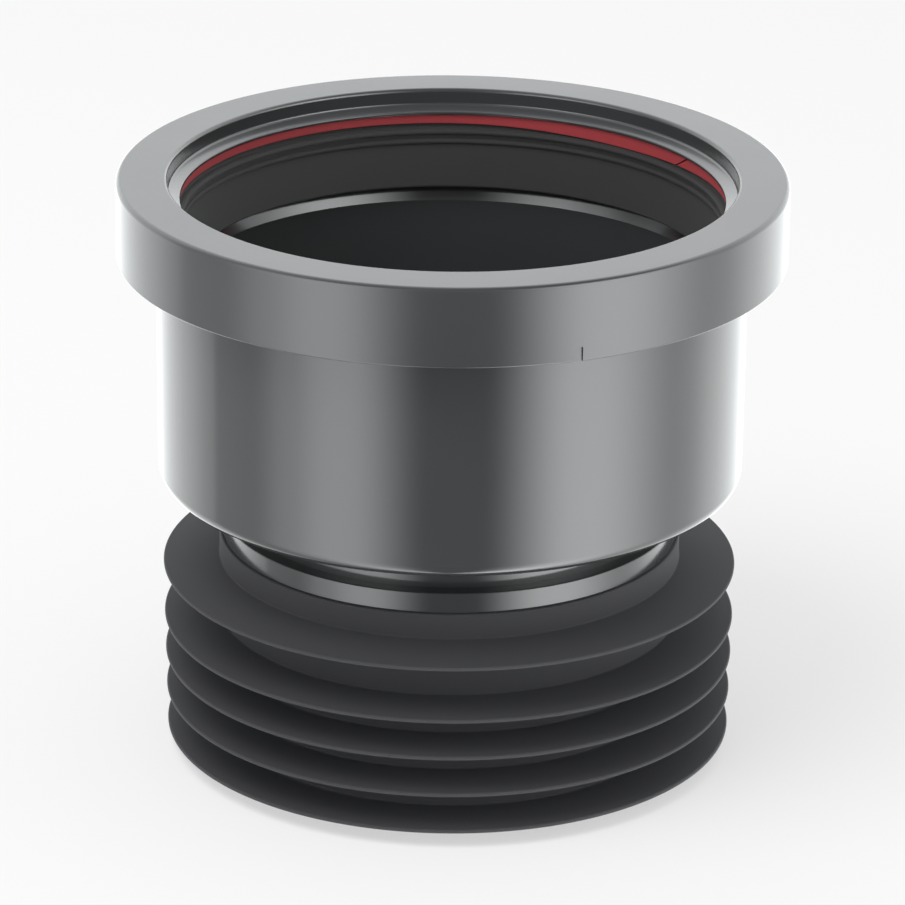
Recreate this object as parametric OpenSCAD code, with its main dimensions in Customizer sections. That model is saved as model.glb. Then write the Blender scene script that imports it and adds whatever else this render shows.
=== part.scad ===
// Drain connector: a push-fit socket for a soil pipe above a rubber finned spigot for an older drain.
// The foot of the finned seal stands at z = 0, and every piece is turned about the Z axis.

/* [Pipe] */
// Outside diameter of the pipe that the socket takes
pipe_d = 110; // [105:0.5:125]
// Gap between the pipe and the ledge of the cap, on each side
ledge_gap = 0.85; // [0.4:0.05:1.2]
// Gap between the pipe and the socket bore at its mouth, on each side
bore_gap = 0.8; // [0.5:0.05:1.2]
// Amount by which the bore closes in on the pipe down to the stop, on each side
bore_draft = 0.4; // [0.1:0.05:0.45]

/* [Retaining cap] */
// Wall thickness of the skirt of the cap
cap_wall = 3.3; // [2:0.1:6]
// Width of the ledge, from its edge to the wall of the mouth
ledge_w = 2.65; // [1.6:0.05:3.6]
// Depth of the mouth from the top face to the root of the ledge
mouth_depth = 3.5; // [2.5:0.1:5]
// Fall of the ledge from its root to its edge
ledge_fall = 0.9; // [0.4:0.1:1.4]
// Thickness of the rounded edge of the ledge
ledge_t = 0.7; // [0.5:0.05:1]
// Radius of the outer top edge
cap_round = 1; // [0.4:0.1:1.6]
// Radius of the inner top edge
mouth_round = 0.8; // [0.4:0.1:1.2]
// Radius of the hollow between the mouth and the ledge
ledge_fillet = 0.6; // [0.2:0.1:1]
// Radius of the lower edge
cap_low_round = 0.4; // [0.2:0.1:0.8]
// Reach of the skirt of the cap below the flare of the bell
skirt_reach = 0.35; // [0.1:0.05:6]
// Width of the small notch in the lower edge
notch_w = 2; // [1:0.5:6]
// Height of the small notch
notch_h = 3; // [1.5:0.5:5]
// Depth of the small notch
notch_depth = 0.4; // [0.2:0.1:1]
// Angle of the notch from the front, towards the right
notch_angle = 21; // [0:1:359]

/* [Socket body] */
// Wall thickness of the barrel round the room behind the lip of the seal
barrel_wall = 3.3; // [2.4:0.1:4.6]
// Height of the barrel between its underside and the cap
body_h = 48; // [42:1:80]
// Amount by which the barrel narrows down to its shoulder, on each side
body_draft = 0.15; // [0:0.05:0.5]
// Radius of the shoulder of the barrel
shoulder_round = 3; // [1.5:0.5:5]
// Thickness of the floor under the pipe stop
floor_t = 4.2; // [3:0.1:6]
// Width of the pipe stop
stop_w = 3.4; // [2:0.2:6]
// Fall of the floor from the stop to the spigot bore
floor_fall = 1; // [0:0.1:1.5]
// Radius of the edge where the floor meets the spigot bore
floor_round = 2; // [1:0.5:3]
// Radius of the fillet between the underside and the neck
neck_fillet = 2; // [0.5:0.5:3]

/* [Seal housing] */
// Width of the seal chamber outside the pipe, on each side
chamber_w = 7.4; // [6.8:0.1:9]
// Thickness of the wall of the bell round the seal
bell_wall = 3.2; // [2.4:0.1:4]
// Height of the seal chamber
chamber_h = 5.6; // [5.2:0.1:7]
// Thickness of the floor of the seal chamber
bell_floor = 2.3; // [1.6:0.1:4]
// Height of the flare under the bell
flare_h = 1.2; // [0.8:0.1:4]
// Room behind the lip of the seal, on each side
lip_room = 1.8; // [1.4:0.1:2.2]
// Height of the slope that leads from this room to the bore
room_fall = 3.6; // [2:0.2:6]
// Height of the snap bead round the bell
snap_h = 0.5; // [0.3:0.1:0.8]
// Length of the sloping side of the snap bead
snap_len = 1.4; // [1:0.1:2]

/* [Spigot] */
// Outside diameter of the spigot
spigot_d = 89.2; // [84:0.2:91]
// Wall thickness of the spigot
spigot_wall = 3.6; // [2.8:0.1:4.4]
// Gap between the underside of the barrel and the collar
neck_gap = 8.3; // [5:0.1:14]
// Width of the collar that the finned seal butts against, on each side
collar_w = 3; // [2:0.1:5]
// Height of the collar
collar_h = 4.4; // [3:0.1:8]
// Radius of the edges of the collar, the end of the spigot and the top of the bell
edge_round = 0.3; // [0.1:0.1:0.8]
// Height of the two barbs that hold the finned seal
barb_h = 0.8; // [0.4:0.1:1.2]
// Length of the sloping side of a barb
barb_len = 3.2; // [2:0.1:4]
// Height of the lower barb above the end of the spigot
barb_lift = 4; // [1:0.5:5]

/* [Finned seal] */
// Number of fins
fin_count = 5; // [4:1:8]
// Outside diameter of the top fin
fin_d = 119.8; // [112:0.2:124]
// Amount by which each fin is smaller across than the one above it
fin_step = 0.3; // [0:0.1:1]
// Distance from one fin to the next
fin_pitch = 8.2; // [6:0.1:12]
// Distance from the top fin to the second one
top_pitch = 11.5; // [8:0.1:16]
// Height of the edge of the lowest fin above the foot
fin_low = 3.7; // [3.2:0.1:8]
// Thickness of a fin at its edge
fin_tip_t = 0.85; // [0.6:0.05:1.4]
// Thickness of a fin at its root
fin_root_t = 2; // [1.6:0.1:2.6]
// Radius of the fillet under the root of a fin
root_fillet = 0.5; // [0.2:0.1:1]
// Droop of a fin from root to edge
fin_droop = 0.4; // [0:0.1:1.5]
// Droop of the top fin from root to edge
top_droop = 1.2; // [0:0.1:2.5]
// Wall thickness of the sleeve
sleeve_wall = 3.5; // [3:0.1:5]
// Height of the plain band above the top fin
sleeve_band = 7; // [5:0.5:12]
// Radius of the upper edge of the sleeve
sleeve_round = 0.4; // [0.1:0.1:1]
// Thickness of the foot that turns in under the spigot
foot_t = 2.4; // [1.5:0.1:3]
// Width of the foot under the spigot
foot_w = 2.6; // [1:0.1:2.8]
// Radius round the outside of the foot
foot_round = 0.8; // [0.2:0.1:1]

/* [Lip seal] */
// Amount by which the edge of the lip lies inside the pipe, on each side
lip_reach = 1.4; // [0.6:0.1:2.5]
// Depth of the lip below the seal chamber
lip_h = 8; // [5:0.5:10]
// Thickness of the lip at its edge
lip_t = 1; // [0.8:0.1:1.4]
// Width of the rebate round the inner top edge
rebate_w = 1.2; // [0.4:0.1:2]
// Depth of the rebate
rebate_h = 1.1; // [0.4:0.1:1.2]
// Radius of the two wiper beads
bead_r = 0.55; // [0.4:0.05:0.6]
// Gap between the pipe and the wiper beads, on each side
bead_gap = 0.25; // [0.1:0.05:0.5]
// Depth of the upper bead below the rebate
bead_drop = 0.7; // [0.65:0.05:1]
// Distance from one bead to the next
bead_pitch = 2.05; // [1.6:0.05:2.4]

/* [Support ring] */
// Height of the support ring
ring_h = 1.95; // [1.5:0.05:2.6]
// Gap between the pipe and the support ring, on each side
ring_gap = 1.4; // [1:0.1:2]
// Play of the ring in its chamber, on each side
ring_play = 0.6; // [0.3:0.1:1]
// Width of the slanting split in the ring
split_w = 0.3; // [0.2:0.1:2]
// Slant of the split from upright
split_slant = 60; // [0:5:70]
// Angle of the split from the right, towards the back
split_angle = 31; // [0:1:359]

/* [Fits] */
// Clearance between round faces that fit into each other
fit = 0.1; // [0.05:0.05:0.2]

/* [Hidden] */

$fn = 180;
// Overlap between the shapes that make up one piece
over = 0.01;
// Radius at each corner of a thin edge, as a share of its thickness: a half would meet in a point
edge_share = 0.45;

// Radii that follow from the diameters and gaps above
pipe_r = pipe_d / 2;
ledge_r = pipe_r + ledge_gap;
bore_r = pipe_r + bore_gap;
bore_low_r = bore_r - bore_draft;
mouth_r = ledge_r + ledge_w;
room_r = bore_r + lip_room;
body_r = room_r + barrel_wall;
shoulder_r = body_r - body_draft;
chamber_r = pipe_r + chamber_w;
bell_r = chamber_r + bell_wall;
skirt_r = bell_r + fit;
cap_r = skirt_r + cap_wall;
spigot_r = spigot_d / 2;
spigot_bore_r = spigot_r - spigot_wall;
collar_r = spigot_r + collar_w;
sleeve_bore_r = spigot_r + fit;
sleeve_r = sleeve_bore_r + sleeve_wall;

// Heights of the pieces, from the foot upwards
top_fin_z = fin_low + (fin_count - 2) * fin_pitch + top_pitch;
sleeve_top = top_fin_z + sleeve_band;
collar_top = sleeve_top + collar_h;
body_z = collar_top + neck_gap;
stop_z = body_z + floor_t;
cap_z = body_z + body_h;
flare_z = cap_z + skirt_reach;
bell_z = flare_z + flare_h;
chamber_z = bell_z + bell_floor;
ring_z = chamber_z + chamber_h;
ledge_z = ring_z + ring_h;
mouth_z = ledge_z + ledge_t + ledge_fall;
cap_top = mouth_z + mouth_depth;
barb_zs = [foot_t + barb_lift, top_fin_z - barb_len - fin_root_t];
snap_z = chamber_z;
bead_z = ring_z - rebate_h - bead_drop;
// Length of the cut that splits the ring, long enough for the steepest slant
split_len = 8 * ring_h;

// Height of the edge of fin i, counted from the lowest one
function fin_z(i) = i == fin_count - 1 ? top_fin_z : fin_low + i * fin_pitch;
// Radius of the edge of fin i
function fin_r(i) = (fin_d - fin_step * (fin_count - 1 - i)) / 2;
// Droop of fin i
function droop(i) = i == fin_count - 1 ? top_droop : fin_droop;
// Points of the section of fin i, from its lower root round its edge to its upper root
function fin_points(i) =
    let (z = fin_z(i), t = fin_tip_t, root_z = z + t / 2 + droop(i))
    [[sleeve_r, root_z - fin_root_t, -root_fillet], [fin_r(i), z - t / 2, edge_share * t],
     [fin_r(i), z + t / 2, edge_share * t], [sleeve_r, root_z, 0]];

// What lies between the corner p, with neighbours a and b, and an arc of radius r that touches both sides
module corner(p, a, b, r) {
    u = (a - p) / norm(a - p);
    v = (b - p) / norm(b - p);
    half = acos(u * v) / 2;
    centre = p + (u + v) / norm(u + v) * r / sin(half);
    difference() {
        polygon([p - over * (u + v), p + u * r / tan(half), centre, p + v * r / tan(half)]);
        translate(centre) circle(r);
    }
}

// A closed outline of points [r, z, radius]: a positive radius rounds an outer corner,
// a negative one fills an inner corner, and 0 leaves it sharp
module rounded(points) {
    n = len(points);
    at = [for (p = points) [p.x, p.y]];
    difference() {
        union() {
            polygon(at);
            for (i = [0 : n - 1])
                if (points[i].z < 0) corner(at[i], at[(i + n - 1) % n], at[(i + 1) % n], -points[i].z);
        }
        for (i = [0 : n - 1])
            if (points[i].z > 0) corner(at[i], at[(i + n - 1) % n], at[(i + 1) % n], points[i].z);
    }
}

// Section of the snap bead round the bell: it slopes above and is steep below
module snap_section(r, gap) {
    polygon([[r - over, snap_z - gap], [r + snap_h, snap_z + snap_h / 2 - gap],
             [r + snap_h, snap_z + snap_h], [r - over, snap_z + snap_h + snap_len]]);
}

// Section of one barb of the spigot: it slopes below, where the seal is pushed on, and is flat above
module barb_section(r, z, gap) {
    polygon([[r - over, z], [r + barb_h, z + barb_len], [r + barb_h, z + barb_len + gap],
             [r - over, z + barb_len + gap]]);
}

// One moulding: bell, barrel, floor with pipe stop, neck, collar and barbed spigot
module socket_body() {
    color("DimGray") rotate_extrude() {
        rounded([
            [spigot_bore_r, foot_t, 0], [spigot_r, foot_t, edge_round],
            [spigot_r, sleeve_top, 0], [collar_r, sleeve_top, edge_round],
            [collar_r, collar_top, edge_round], [spigot_r, collar_top, 0],
            [spigot_r, body_z, -neck_fillet], [shoulder_r, body_z, shoulder_round],
            [body_r, cap_z, 0], [body_r, flare_z, 0],
            [bell_r, bell_z, 0], [bell_r, ring_z, edge_round],
            [chamber_r, ring_z, 0], [chamber_r, chamber_z, 0],
            [room_r, chamber_z, 0], [room_r, chamber_z - lip_h, 0],
            [bore_r, chamber_z - lip_h - room_fall, 0], [bore_low_r, stop_z, 0],
            [bore_low_r - stop_w, stop_z, 0], [spigot_bore_r, stop_z - floor_fall, floor_round]]);
        for (z = barb_zs) barb_section(spigot_r, z, 0);
        snap_section(bell_r, 0);
    }
}

// The thick rim: it snaps over the bell and keeps the ring and the seal in their chamber
module retaining_cap() {
    color("DarkGray") difference() {
        rotate_extrude() difference() {
            rounded([
                [cap_r, cap_z, cap_low_round], [cap_r, cap_top, cap_round],
                [mouth_r, cap_top, mouth_round], [mouth_r, mouth_z, -ledge_fillet],
                [ledge_r, ledge_z + ledge_t, edge_share * ledge_t], [ledge_r, ledge_z, edge_share * ledge_t],
                [chamber_r, ledge_z, 0], [chamber_r, ring_z, 0],
                [skirt_r, ring_z, 0], [skirt_r, cap_z, cap_low_round]]);
            snap_section(skirt_r, fit);
        }
        notch();
    }
}

// The small shallow notch in the lower edge of the cap
module notch() {
    rotate([0, 0, notch_angle - 90]) translate([cap_r - notch_depth, -notch_w / 2, cap_z - over])
        cube([2 * notch_depth, notch_w, notch_h + over]);
}

// The split ring that lies on the seal, under the ledge of the cap
module support_ring() {
    color("Firebrick") difference() {
        rotate_extrude() translate([pipe_r + ring_gap, ring_z])
            square([chamber_r - ring_play - pipe_r - ring_gap, ring_h]);
        rotate([0, 0, split_angle]) translate([pipe_r, 0, ring_z + ring_h / 2]) rotate([split_slant, 0, 0])
            translate([0, -split_w / 2, -split_len / 2]) cube([chamber_r - pipe_r, split_w, split_len]);
    }
}

// The rubber ring in the chamber of the bell, with two wiper beads and a lip that hangs into the bore
module lip_seal() {
    face_r = pipe_r + bead_gap + bead_r;
    lip_r = pipe_r - lip_reach;
    lip_z = chamber_z - lip_h;
    color("Black") rotate_extrude() {
        rounded([
            [chamber_r - fit, chamber_z, 0], [chamber_r - fit, ring_z, 0],
            [face_r + rebate_w, ring_z, 0], [face_r + rebate_w, ring_z - rebate_h, 0],
            [face_r, ring_z - rebate_h, 0], [face_r, chamber_z + lip_t, 0],
            [lip_r, lip_z, edge_share * lip_t], [lip_r + lip_t, lip_z, edge_share * lip_t],
            [room_r - fit, chamber_z, 0]]);
        for (z = [bead_z, bead_z - bead_pitch]) translate([face_r, z]) circle(bead_r);
    }
}

// The rubber sleeve on the spigot, with its fins and the foot that turns in under the spigot
module finned_seal() {
    color("Black") rotate_extrude() difference() {
        rounded([
            [spigot_r - foot_w, 0, 0], [sleeve_r, 0, foot_round],
            for (i = [0 : fin_count - 1]) each fin_points(i),
            [sleeve_r, sleeve_top, sleeve_round], [sleeve_bore_r, sleeve_top, 0],
            [sleeve_bore_r, foot_t, 0], [spigot_r - foot_w, foot_t, 0]]);
        for (z = barb_zs) barb_section(sleeve_bore_r, z, fit);
    }
}

socket_body();
retaining_cap();
support_ring();
lip_seal();
finned_seal();
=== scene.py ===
# %% [markdown]
# A drain connector
#
# This lesson dresses a push-fit drain connector. Above is a socket of dark grey plastic with a thick rim,
# which takes the end of a soil pipe. Below is a spigot with a rubber sleeve, whose fins press into an older
# drain. Every piece is turned about one upright axis, so the lesson is mostly about one tool, Spin, about
# rounding corners before spinning, and about gloss: a shiny cylinder shows the studio more than itself.
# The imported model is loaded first. It is the fixed frame that every piece is measured from.

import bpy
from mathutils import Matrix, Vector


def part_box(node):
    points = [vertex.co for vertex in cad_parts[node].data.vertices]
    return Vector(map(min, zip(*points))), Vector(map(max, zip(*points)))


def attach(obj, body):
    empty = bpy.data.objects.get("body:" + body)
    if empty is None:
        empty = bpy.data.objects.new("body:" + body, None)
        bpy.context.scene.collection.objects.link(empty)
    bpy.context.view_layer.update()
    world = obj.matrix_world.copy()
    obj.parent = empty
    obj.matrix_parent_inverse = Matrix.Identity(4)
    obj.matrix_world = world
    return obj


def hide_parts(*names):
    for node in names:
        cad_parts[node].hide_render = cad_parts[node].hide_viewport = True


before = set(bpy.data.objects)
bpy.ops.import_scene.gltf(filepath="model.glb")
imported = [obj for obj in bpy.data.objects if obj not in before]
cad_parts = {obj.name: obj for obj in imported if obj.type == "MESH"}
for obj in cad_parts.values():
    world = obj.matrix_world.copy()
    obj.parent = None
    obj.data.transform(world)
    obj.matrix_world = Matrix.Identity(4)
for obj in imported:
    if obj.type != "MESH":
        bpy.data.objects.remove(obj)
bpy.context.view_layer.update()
print("solids:", ", ".join(sorted(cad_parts)))

# %% Helpers come from Blender's own modules
import math

import bmesh
import bpy
from mathutils import Matrix, Vector

MM = 0.001
BODY = "root"
scene = bpy.context.scene

# %% [markdown]
# The camera
#
# Product pictures of this kind are taken from far away with a long lens, so that circles stay ellipses and
# upright walls stay nearly parallel. The camera could be aimed with a Track To constraint, but here its
# angles are known, so it is placed by three turns: down to the object, a hair to the right, and a small
# roll, because the photographed camera wasn't quite level.

# %% The camera
IMAGE_SIDE = 905
FOCAL_PIXELS = 5500
SENSOR = 36.0
EYE_DISTANCE = 1068.8 * MM
EYE_HEIGHT = 481.2 * MM
LOOK_DOWN = 0.37289
LOOK_RIGHT = 0.00045
ROLL = 0.010592

lens = bpy.data.cameras.new("camera")
lens.sensor_width = SENSOR
lens.lens = FOCAL_PIXELS / IMAGE_SIDE * SENSOR
lens.clip_start = 0.05
lens.clip_end = 50
camera = bpy.data.objects.new("camera", lens)
turn = Matrix.Rotation(-LOOK_RIGHT, 4, "Z") @ Matrix.Rotation(math.pi / 2 - LOOK_DOWN, 4, "X")
camera.matrix_world = Matrix.Translation((0, -EYE_DISTANCE, EYE_HEIGHT)) @ turn @ Matrix.Rotation(ROLL, 4, "Z")
scene.collection.objects.link(camera)
scene.camera = camera
print("lens:", round(lens.lens, 1), "mm")

# %% [markdown]
# Turned pieces
#
# A piece with the same section all round is drawn as one half section and spun. The section starts as a
# closed wire of corner points in the XZ plane. Rounding each corner on the wire, with a vertex bevel, is
# cheaper than bevelling hundreds of edges afterwards, and each corner can have a radius of its own. The
# bevel wants the distance from the corner to where the arc starts, which depends on the angle there.

# %% Draw a half section with rounded corners
ARC_STEPS = 7


def half_section(mesh, corners):
    """Adds a closed wire of corners [radius, height, rounding], in millimetres, and rounds each corner."""
    points = [mesh.verts.new((r * MM, 0, z * MM)) for r, z, _ in corners]
    places = [point.co.copy() for point in points]
    for start, end in zip(points, points[1:] + points[:1]):
        mesh.edges.new((start, end))
    for i, (_, _, rounding) in enumerate(corners):
        if rounding:
            before = places[i - 1] - places[i]
            after = places[(i + 1) % len(places)] - places[i]
            reach = rounding * MM / math.tan(before.angle(after) / 2)
            bmesh.ops.bevel(mesh, geom=[points[i]], offset=reach, affect="VERTICES", segments=ARC_STEPS,
                            profile=0.5, material=-1)


# %% Spin it into a solid
TURN_STEPS = 360


def turned(corners):
    """A closed mesh: the half section, spun a full turn about the upright axis."""
    mesh = bmesh.new()
    half_section(mesh, corners)
    bmesh.ops.spin(mesh, geom=mesh.verts[:] + mesh.edges[:], cent=(0, 0, 0), axis=(0, 0, 1),
                   angle=2 * math.pi, steps=TURN_STEPS, use_merge=True)
    bmesh.ops.recalc_face_normals(mesh, faces=mesh.faces[:])
    return mesh


# %% [markdown]
# From mesh to piece
#
# Smooth shading averages the normals at each corner, and on a long wall beside a small round edge that
# average tips the whole wall's shading. A Weighted Normal modifier lets the larger face win, so the wall
# stays straight and only the round edge bends the light. Real edges sharper than 35 degrees are kept.

# %% Make a piece that stands for a solid
SHARP_ANGLE = math.radians(35)


def piece(name, mesh, node):
    """Puts a finished mesh in the scene in place of a solid of the frame."""
    data = bpy.data.meshes.new(name)
    mesh.to_mesh(data)
    mesh.free()
    data.shade_smooth()
    data.set_sharp_from_angle(angle=SHARP_ANGLE)
    made = bpy.data.objects.new(name, data)
    scene.collection.objects.link(made)
    straight = made.modifiers.new("straight walls", "WEIGHTED_NORMAL")
    straight.mode = "FACE_AREA"
    straight.keep_sharp = True
    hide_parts(node)
    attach(made, BODY)
    print(name, "has", len(data.vertices), "vertices and", len(data.polygons), "faces")
    return made


# %% [markdown]
# Sizes shared by the pieces
#
# Pieces that fit into each other must take their sizes from one place. What the frame's boxes give is read
# from them; the rest are the sizes of the real thing, in millimetres.

# %% Sizes from the frame, and sizes of the real thing
def reach(node):
    """Lowest height, highest height and outer radius of a solid, in millimetres."""
    low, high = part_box(node)
    return round(low.z / MM, 3), round(high.z / MM, 3), round(high.x / MM, 3)


cap_z, cap_top, cap_r = reach("retaining_cap")
ring_z, ledge_z, ring_outer_r = reach("support_ring")
lip_z, _, seal_outer_r = reach("lip_seal")
_, sleeve_top, fin_outer_r = reach("finned_seal")
spigot_z, bell_top, bead_outer_r = reach("socket_body")

PIPE_R = 55.0
LEDGE_R = PIPE_R + 0.85
MOUTH_R = 58.5
BORE_R = PIPE_R + 0.8
BARREL_R = 60.9
SPIGOT_R = 44.6
SLEEVE_R = 48.2
CHAMBER_R = 62.4
BELL_R = 65.6
FIT = 0.1
SNAP = 0.5
SOFT_EDGE = 0.15
chamber_z = ring_z - 5.6
print("rim", cap_r, "ring", ring_z, ledge_z, "seal", lip_z, "sleeve", sleeve_top, "fins", fin_outer_r)

# %% [markdown]
# The socket moulding
#
# One moulding holds the bell round the seal, the barrel, the floor with its pipe stop, the neck, the collar
# and the barbed spigot. Most of it is hidden, but it is all one section, so it is all drawn: from the
# spigot's end, up the outside, over the bell and down the bore.

# %% The socket moulding
COLLAR_R = SPIGOT_R + 3.0
COLLAR_TOP = sleeve_top + 4.4
BARREL_Z = COLLAR_TOP + 8.3
STOP_Z = BARREL_Z + 4.2
WATERWAY_R = SPIGOT_R - 3.6
BARB = 0.8
BARB_LENGTH = 3.2
BARB_HEIGHTS = (6.4, 34.6)
ROOM_R = BORE_R + 1.8

outside = [[WATERWAY_R, spigot_z, SOFT_EDGE], [SPIGOT_R, spigot_z, 0.3]]
for z in BARB_HEIGHTS:
    outside += [[SPIGOT_R, z, 0], [SPIGOT_R + BARB, z + BARB_LENGTH, SOFT_EDGE], [SPIGOT_R, z + BARB_LENGTH, 0]]
outside += [
    [SPIGOT_R, sleeve_top, 0], [COLLAR_R, sleeve_top, 0.3], [COLLAR_R, COLLAR_TOP, 0.3],
    [SPIGOT_R, COLLAR_TOP, 0], [SPIGOT_R, BARREL_Z, 2], [BARREL_R - 0.15, BARREL_Z, 3],
    [BARREL_R, cap_z, 0], [BARREL_R, cap_z + 0.35, 0], [BELL_R, cap_z + 1.55, SOFT_EDGE],
    [BELL_R, chamber_z, 0], [BELL_R + SNAP, chamber_z + SNAP / 2, 0], [BELL_R + SNAP, chamber_z + SNAP, 0],
    [BELL_R, chamber_z + SNAP + 1.4, 0], [BELL_R, bell_top, 0.3]]
inside = [
    [CHAMBER_R, bell_top, SOFT_EDGE], [CHAMBER_R, chamber_z, 0], [ROOM_R, chamber_z, SOFT_EDGE],
    [ROOM_R, lip_z, 0.5], [BORE_R, lip_z - 3.6, 0.5], [BORE_R - 0.4, STOP_Z, SOFT_EDGE],
    [BORE_R - 3.8, STOP_Z, SOFT_EDGE], [WATERWAY_R, STOP_Z - 1, 2]]
socket_moulding = piece("socket_moulding", turned(outside + inside), "socket_body")

# %% [markdown]
# The rim
#
# The rim is a cap that snaps over the bell. It carries the ledge that holds the seal down. Its one mark is
# a small shallow notch in the lower edge. A Boolean cuts it: the cutter is a cube, moved by matrices, and
# it is removed once the cut is kept in the mesh.

# %% The rim
rim_corners = [
    [cap_r, cap_z, 0.4], [cap_r, cap_top, 1.0], [MOUTH_R, cap_top, 0.8], [MOUTH_R, cap_top - 3.5, 0.6],
    [LEDGE_R, ledge_z + 0.7, 0.31], [LEDGE_R, ledge_z, 0.31], [CHAMBER_R, ledge_z, 0],
    [CHAMBER_R, ring_z, 0], [BELL_R + FIT, ring_z, 0], [BELL_R + FIT, chamber_z + SNAP + 1.4, 0],
    [BELL_R + FIT + SNAP, chamber_z + SNAP, 0], [BELL_R + FIT + SNAP, chamber_z + SNAP / 2 - FIT, 0],
    [BELL_R + FIT, chamber_z - FIT, 0], [BELL_R + FIT, cap_z, 0.4]]
rim = piece("rim", turned(rim_corners), "retaining_cap")


# %% Cut the notch
NOTCH = Vector((0.8, 2.0, 3.0)) * MM
NOTCH_ANGLE = math.radians(21 - 90)


def cut_away(made, cutter_mesh):
    """Cuts a mesh out of a piece and keeps the result in the piece's own mesh."""
    data = bpy.data.meshes.new("cutter")
    cutter_mesh.to_mesh(data)
    cutter_mesh.free()
    cutter = bpy.data.objects.new("cutter", data)
    scene.collection.objects.link(cutter)
    cut = made.modifiers.new("cut", "BOOLEAN")
    cut.object = cutter
    cut.solver = "EXACT"
    straight = made.modifiers["straight walls"]
    straight.show_viewport = False
    kept = bpy.data.meshes.new_from_object(made.evaluated_get(bpy.context.evaluated_depsgraph_get()))
    straight.show_viewport = True
    made.modifiers.remove(cut)
    bpy.data.objects.remove(cutter)
    made.data = kept
    made.data.name = made.name


notch = bmesh.new()
bmesh.ops.create_cube(notch, size=1)
place = Matrix.Rotation(NOTCH_ANGLE, 4, "Z") @ Matrix.Translation((cap_r * MM, 0, cap_z * MM))
bmesh.ops.transform(notch, matrix=place @ Matrix.Diagonal((NOTCH.x, NOTCH.y, 2 * NOTCH.z, 1)), verts=notch.verts[:])
cut_away(rim, notch)
print("the rim with its notch has", len(rim.data.polygons), "faces")

# %% [markdown]
# The lip seal
#
# A rubber ring lies in the bell. Two wiper beads show in the mouth, and below them a lip hangs into the
# bore. Each bead is drawn as a small block whose corners are rounded until nothing straight is left.

# %% The lip seal
FACE_R = BORE_R
REBATE = (1.2, 1.1)
BEAD = 0.55
BEAD_HEIGHTS = (ring_z - 1.8, ring_z - 3.85)
LIP_T = 1.0

seal_corners = [
    [seal_outer_r, chamber_z, SOFT_EDGE], [seal_outer_r, ring_z, SOFT_EDGE],
    [FACE_R + REBATE[0], ring_z, SOFT_EDGE], [FACE_R + REBATE[0], ring_z - REBATE[1], 0.3],
    [FACE_R, ring_z - REBATE[1], 0.1]]
for z in BEAD_HEIGHTS:
    seal_corners += [
        [FACE_R, z + BEAD, 0], [FACE_R - BEAD, z + BEAD, 0.98 * BEAD], [FACE_R - BEAD, z - BEAD, 0.98 * BEAD],
        [FACE_R, z - BEAD, 0]]
seal_corners += [
    [FACE_R, chamber_z + LIP_T, 0], [PIPE_R - 1.4, lip_z, 0.45 * LIP_T], [PIPE_R - 0.4, lip_z, 0.45 * LIP_T],
    [ROOM_R - FIT, chamber_z, 0]]
lip_seal_piece = piece("wiper_seal", turned(seal_corners), "lip_seal")

# %% [markdown]
# The support ring
#
# A thin split ring of red plastic lies on the seal, under the ledge. It is sprung, and near its split the
# lower edge sags a little into the rebate of the seal. Moving the vertices by a smooth bell-shaped rule
# gives the sag. The split is made with two slanting cuts, and the open ends are filled.

# %% The support ring
RING_R = PIPE_R + 1.4
SPLIT_ANGLE = math.radians(31)
SPLIT_SLANT = math.radians(60)
SPLIT_WIDTH = 0.3 * MM
SAG = 1.0 * MM
SAG_CENTRE = math.radians(50)
SAG_SPREAD = math.radians(28)

ring_mesh = turned([
    [RING_R, ring_z, 0.2], [ring_outer_r, ring_z, SOFT_EDGE], [ring_outer_r, ledge_z, SOFT_EDGE],
    [RING_R, ledge_z, 0.2]])
for vert in ring_mesh.verts:
    off_centre = (math.atan2(vert.co.y, vert.co.x) - SAG_CENTRE) / SAG_SPREAD
    inner = vert.co.xy.length < (RING_R + 0.4) * MM
    low = vert.co.z < (ring_z + 0.4) * MM
    if inner and low:
        vert.co.z -= SAG * math.exp(-off_centre * off_centre)


# %% Split the ring
def split(mesh, angle, slant, width):
    """Cuts a narrow slanting gap through a ring and closes both ends."""
    outward = Vector((math.cos(angle), math.sin(angle), 0))
    across = Matrix.Rotation(slant, 3, outward) @ Vector((-math.sin(angle), math.cos(angle), 0))
    middle = outward * RING_R * MM + Vector((0, 0, (ring_z + ledge_z) / 2 * MM))
    for side in (-0.5, 0.5):
        near = [face for face in mesh.faces if face.calc_center_median().xy.normalized().dot(outward.xy) > 0.9]
        edges = {edge for face in near for edge in face.edges}
        verts = {vert for face in near for vert in face.verts}
        bmesh.ops.bisect_plane(mesh, geom=[*verts, *edges, *near], dist=1e-7,
                               plane_co=middle + across * side * width, plane_no=across)
    gap = [face for face in mesh.faces
           if face.calc_center_median().dot(outward) > 0
           and abs((face.calc_center_median() - middle).dot(across)) < width / 2]
    bmesh.ops.delete(mesh, geom=gap, context="FACES")
    open_edges = [edge for edge in mesh.edges if edge.is_boundary]
    bmesh.ops.holes_fill(mesh, edges=open_edges, sides=0)


split(ring_mesh, SPLIT_ANGLE, SPLIT_SLANT, SPLIT_WIDTH)
support_ring_piece = piece("red_ring", ring_mesh, "support_ring")

# %% [markdown]
# The finned seal
#
# The sleeve is one rubber moulding with five fins. Each fin tapers from its root to a thin rounded edge
# and droops a little, the top one more. A loop draws the fins into the same half section, so the rubber
# stays one skin, as the real moulding is.

# %% The finned seal
FIN_COUNT = 5
FIN_LOW = 3.7
FIN_PITCH = 8.2
TOP_FIN_Z = sleeve_top - 7.0
FIN_STEP = 0.15
FIN_EDGE = 0.85
FIN_ROOT = 2.0
DROOP = 0.4
TOP_DROOP = 1.2
FOOT_R = SPIGOT_R - 2.6

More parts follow.
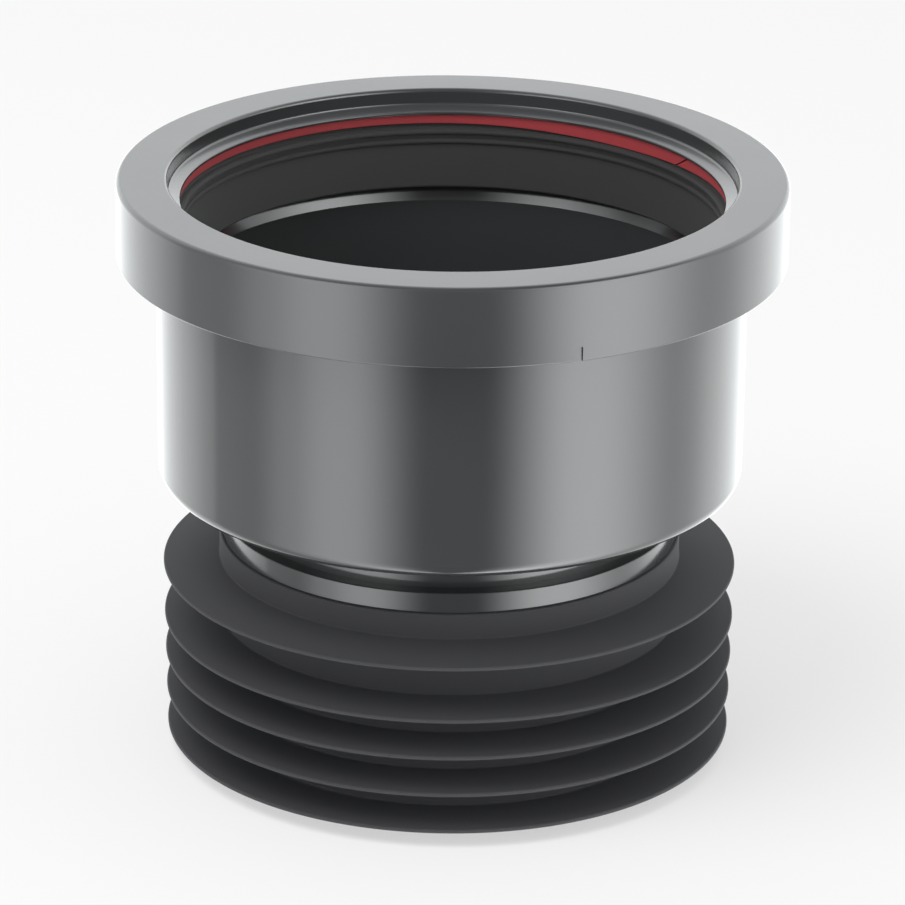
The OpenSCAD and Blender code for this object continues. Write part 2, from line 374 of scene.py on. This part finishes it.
sleeve_corners = [[FOOT_R, 0, SOFT_EDGE], [SLEEVE_R, 0, 0.8]]
for i in range(FIN_COUNT):
    is_top = i == FIN_COUNT - 1
    z = TOP_FIN_Z if is_top else FIN_LOW + i * FIN_PITCH
    fin_r = fin_outer_r - FIN_STEP * (FIN_COUNT - 1 - i)
    root_z = z + FIN_EDGE / 2 + (TOP_DROOP if is_top else DROOP)
    sleeve_corners += [
        [SLEEVE_R, root_z - FIN_ROOT, 0.5], [fin_r, z - FIN_EDGE / 2, 0.45 * FIN_EDGE],
        [fin_r, z + FIN_EDGE / 2, 0.45 * FIN_EDGE], [SLEEVE_R, root_z, 0.3]]
sleeve_corners += [[SLEEVE_R, sleeve_top, 0.4], [SPIGOT_R + FIT, sleeve_top, SOFT_EDGE]]
for z in reversed(BARB_HEIGHTS):
    groove_top = z + BARB_LENGTH + FIT
    sleeve_corners += [
        [SPIGOT_R + FIT, groove_top, 0], [SPIGOT_R + FIT + BARB, groove_top, 0],
        [SPIGOT_R + FIT + BARB, groove_top - FIT, 0], [SPIGOT_R + FIT, z, 0]]
sleeve_corners += [[SPIGOT_R + FIT, spigot_z, 0], [FOOT_R, spigot_z, SOFT_EDGE]]
finned_sleeve = piece("finned_sleeve", turned(sleeve_corners), "finned_seal")

# %% [markdown]
# Shader maths as Python
#
# A node tree for a finish is easier to read as formulas. The class below wraps one socket, so that + and *
# between sockets add Math nodes by themselves. One method makes every other node: it sets the node's own
# settings first, then the values or links of its sockets.

# %% Sockets that can be added and multiplied
class Wire:
    """One output socket of a node tree, for use in formulas."""

    def __init__(self, recipe, socket):
        self.recipe = recipe
        self.socket = socket

    def maths(self, operation, *terms):
        return self.recipe.node("ShaderNodeMath", {"operation": operation}, dict(enumerate(terms)))

    def apply(self, operation, *others):
        return self.maths(operation, self, *others)

    def __add__(self, other):
        return self.maths("ADD", self, other)

    def __sub__(self, other):
        return self.maths("SUBTRACT", self, other)

    def __rsub__(self, other):
        return self.maths("SUBTRACT", other, self)

    def __mul__(self, other):
        return self.maths("MULTIPLY", self, other)

    def __truediv__(self, other):
        return self.maths("DIVIDE", self, other)

    def __pow__(self, other):
        return self.maths("POWER", self, other)

    __radd__ = __add__
    __rmul__ = __mul__


# %% One method that makes nodes
class Recipe:
    """The node tree of one finish."""

    def __init__(self, tree):
        self.tree = tree
        tree.nodes.clear()

    def node(self, kind, settings=None, inputs=None, output=0):
        made = self.tree.nodes.new(kind)
        for key, value in (settings or {}).items():
            setattr(made, key, value)
        for key, value in (inputs or {}).items():
            if isinstance(value, Wire):
                self.tree.links.new(value.socket, made.inputs[key])
            else:
                made.inputs[key].default_value = value
        return Wire(self, made.outputs[output]) if made.outputs else None

    def rise(self, value, low, high, bottom=0.0, top=1.0):
        """A smooth step of value from low to high, between two levels."""
        return self.node("ShaderNodeMapRange", {"interpolation_type": "SMOOTHSTEP"}, {
            "Value": value, "From Min": low, "From Max": high, "To Min": bottom, "To Max": top})

    def noise(self, place, size, detail=2.0, roughness=0.5):
        """Noise from 0 to 1 whose lumps are about size metres across."""
        return self.node("ShaderNodeTexNoise", {}, {
            "Vector": place, "Scale": 1 / size, "Detail": detail, "Roughness": roughness})

    def blend(self, share, low, high):
        """A colour between two others."""
        return self.node("ShaderNodeMix", {"data_type": "RGBA"}, {0: share, 6: low, 7: high}, output=2)


# %% [markdown]
# Places on the surface
#
# Every finish reads Object coordinates, which are metres in the piece's own space. For turned pieces the
# useful ones are the distance from the axis and the height, because moulds are turned on a lathe and leave
# faint rings.

# %% Places on a turned piece
def places(recipe):
    """Object coordinates, distance from the axis and height, in metres."""
    spot = recipe.node("ShaderNodeTexCoord", output=3)
    x = recipe.node("ShaderNodeSeparateXYZ", {}, {0: spot}, output=0)
    y = recipe.node("ShaderNodeSeparateXYZ", {}, {0: spot}, output=1)
    z = recipe.node("ShaderNodeSeparateXYZ", {}, {0: spot}, output=2)
    return spot, (x * x + y * y) ** 0.5, z


def finish(name, slots, recipe, colour, roughness, height, depth, **extras):
    """Ends a finish with a Principled shader, and gives it to the pieces."""
    bump = recipe.node("ShaderNodeBump", {}, {"Height": height, "Distance": depth, "Strength": 1.0})
    shader = recipe.node("ShaderNodeBsdfPrincipled", {}, {
        "Base Color": colour, "Roughness": roughness, "Normal": bump, **extras})
    recipe.node("ShaderNodeOutputMaterial", {}, {"Surface": shader})
    for made in slots:
        made.data.materials.clear()
        made.data.materials.append(bpy.data.materials[name])
    print("finish", name, "has", len(recipe.tree.nodes), "nodes")


def new_finish(name):
    material = bpy.data.materials.new(name)
    material.use_nodes = True
    return Recipe(material.node_tree)


# %% [markdown]
# Grey plastic
#
# The two grey mouldings are dark and glossy, and their walls act as slightly wavy mirrors. The top face of
# the rim is blasted satin, so it spreads the light of the backdrop. A mask made from the height keeps the
# satin to that face.

# %% Grey plastic of the socket
GREY = (0.052, 0.054, 0.056, 1)
PALE_GREY = (0.060, 0.062, 0.064, 1)

recipe = new_finish("grey_plastic")
spot, from_axis, height = places(recipe)
clouds = recipe.noise(spot, 30 * MM, 2)
grain = recipe.noise(spot, 0.5 * MM, 2)
wave = recipe.noise(spot, 24 * MM, 1)
finish("grey_plastic", [socket_moulding], recipe,
       colour=recipe.blend(clouds, GREY, PALE_GREY), roughness=0.10 + 0.05 * clouds,
       height=0.02 * grain + 0.6 * wave, depth=0.06 * MM)

# %% Grey plastic of the rim, satin on its top face
recipe = new_finish("rim_plastic")
spot, from_axis, height = places(recipe)
clouds = recipe.noise(spot, 30 * MM, 2)
grain = recipe.noise(spot, 0.35 * MM, 3, 0.6)
wave = recipe.noise(spot, 18 * MM, 1)
top_face = recipe.rise(height, (cap_top - 0.12) * MM, (cap_top - 0.02) * MM)
finish("rim_plastic", [rim], recipe,
       colour=recipe.blend(clouds, GREY, PALE_GREY), roughness=0.15 + 0.05 * clouds + 0.2 * top_face,
       height=0.03 * grain + 0.7 * wave + 0.1 * top_face * grain, depth=0.06 * MM)

# %% [markdown]
# Rubber and red plastic
#
# Rubber is darker and much rougher. Its mould was turned, so faint rings run round the fins: a sine of the
# distance from the axis gives them. The red ring is a satin plastic.

# %% Rubber of the fins
BLACK = (0.030, 0.030, 0.032, 1)
WORN_BLACK = (0.040, 0.041, 0.042, 1)
RING_MARKS = 0.45 * MM

recipe = new_finish("fin_rubber")
spot, from_axis, height = places(recipe)
clouds = recipe.noise(spot, 9 * MM, 3)
grain = recipe.noise(spot, 0.4 * MM, 3, 0.6)
marks = ((from_axis + height) * (2 * math.pi / RING_MARKS)).apply("SINE")
finish("fin_rubber", [finned_sleeve], recipe,
       colour=recipe.blend(clouds, BLACK, WORN_BLACK), roughness=0.42 + 0.10 * clouds,
       height=0.4 * grain + 0.15 * marks, depth=0.02 * MM)

# %% Rubber of the lip seal
recipe = new_finish("seal_rubber")
spot, from_axis, height = places(recipe)
clouds = recipe.noise(spot, 9 * MM, 3)
grain = recipe.noise(spot, 0.4 * MM, 3, 0.6)
finish("seal_rubber", [lip_seal_piece], recipe,
       colour=recipe.blend(clouds, BLACK, WORN_BLACK), roughness=0.25 + 0.10 * clouds,
       height=grain, depth=0.01 * MM)

# %% Red plastic of the support ring
RED = (0.30, 0.035, 0.042, 1)
DEEP_RED = (0.22, 0.028, 0.034, 1)

recipe = new_finish("red_plastic")
spot, from_axis, height = places(recipe)
clouds = recipe.noise(spot, 12 * MM, 2)
grain = recipe.noise(spot, 0.3 * MM, 2)
finish("red_plastic", [support_ring_piece], recipe,
       colour=recipe.blend(clouds, RED, DEEP_RED), roughness=0.38 + 0.08 * clouds,
       height=grain, depth=0.01 * MM)

# %% [markdown]
# The studio
#
# A glossy cylinder is a mirror that squeezes the whole room into its width. The room here is a backdrop
# that wraps round behind the object, and two tall soft lamps in front, left and right, with darkness
# between them. Only glossy rays see that room. Diffuse light is plain and even, so that a colour renders
# about as it is written, and the camera sees white.

# %% The room that the gloss shows
world = bpy.data.worlds.new("studio")
world.use_nodes = True
scene.world = world
room = Recipe(world.node_tree)
look = room.node("ShaderNodeTexCoord", output=0)
east = room.node("ShaderNodeSeparateXYZ", {}, {0: look}, output=0)
north = room.node("ShaderNodeSeparateXYZ", {}, {0: look}, output=1)
up = room.node("ShaderNodeSeparateXYZ", {}, {0: look}, output=2)
bearing = east.apply("ARCTAN2", 0 - north) * (180 / math.pi)

left_lamp = room.rise(bearing, -85, -45) * (1 - room.rise(bearing, -40, -8)) * 4.6
right_lamp = room.rise(bearing, 12, 50) * (1 - room.rise(bearing, 56, 100) * 0.7) * 7.2
left_side = (1 - room.rise(bearing, -72, -60)) * 0.9
below_lamp = 1 - room.rise(up, 0.45, 0.8)
lamps = (left_lamp + right_lamp) * below_lamp + left_side + 0.2
behind = room.rise(north, 0.23, 0.25)
backdrop = 2.6 + 0.3 * east + room.rise(north, 0.25, 0.5, -0.5, 0.0)
level = lamps * (1 - behind) + backdrop * behind

# %% White for the camera, even light for the rest
is_camera = room.node("ShaderNodeLightPath", output=0)
is_glossy = room.node("ShaderNodeLightPath", output=3)
AMBIENT = 0.75
plain = room.node("ShaderNodeBackground", {}, {"Color": (1, 1, 1, 1), "Strength": AMBIENT + (1 - AMBIENT) * is_camera})
shown = room.node("ShaderNodeBackground", {}, {"Color": (0.97, 0.995, 1, 1), "Strength": level})
both = room.node("ShaderNodeMixShader", {}, {0: is_glossy, 1: plain, 2: shown})
room.node("ShaderNodeOutputWorld", {}, {"Surface": both})
print("the room has", len(room.tree.nodes), "nodes")

# %% [markdown]
# Floor and key lamp
#
# The floor is a large pale plane. It catches a soft shadow, and it stays out of the gloss, because the
# walls would otherwise show nothing but floor. A large lamp above and to the left gives the light a side.

# %% The floor
FLOOR_SIDE = 6.0

floor_mesh = bmesh.new()
bmesh.ops.create_grid(floor_mesh, x_segments=1, y_segments=1, size=FLOOR_SIDE / 2)
floor_data = bpy.data.meshes.new("floor")
floor_mesh.to_mesh(floor_data)
floor_mesh.free()
floor = bpy.data.objects.new("floor", floor_data)
scene.collection.objects.link(floor)
floor.visible_glossy = False

recipe = new_finish("floor_paint")
paint = recipe.node("ShaderNodeBsdfDiffuse", {}, {"Color": (0.9, 0.9, 0.9, 1)})
glow = recipe.node("ShaderNodeEmission", {}, {"Color": (1, 1, 1, 1), "Strength": 1.0})
seen = recipe.node("ShaderNodeLightPath", output=0)
mixed = recipe.node("ShaderNodeMixShader", {}, {0: seen * 0.55, 1: paint, 2: glow})
recipe.node("ShaderNodeOutputMaterial", {}, {"Surface": mixed})
floor_data.materials.append(bpy.data.materials["floor_paint"])

# %% The key lamp
key_data = bpy.data.lights.new("key", "AREA")
key_data.shape = "DISK"
key_data.size = 0.9
key_data.energy = 9
key = bpy.data.objects.new("key", key_data)
key.location = (-0.5, -0.5, 1.3)
key.rotation_euler = (Vector((0, 0, 0.06)) - key.location).to_track_quat("-Z", "Y").to_euler()
key.visible_glossy = False
scene.collection.objects.link(key)
scene.view_settings.view_transform = "Standard"
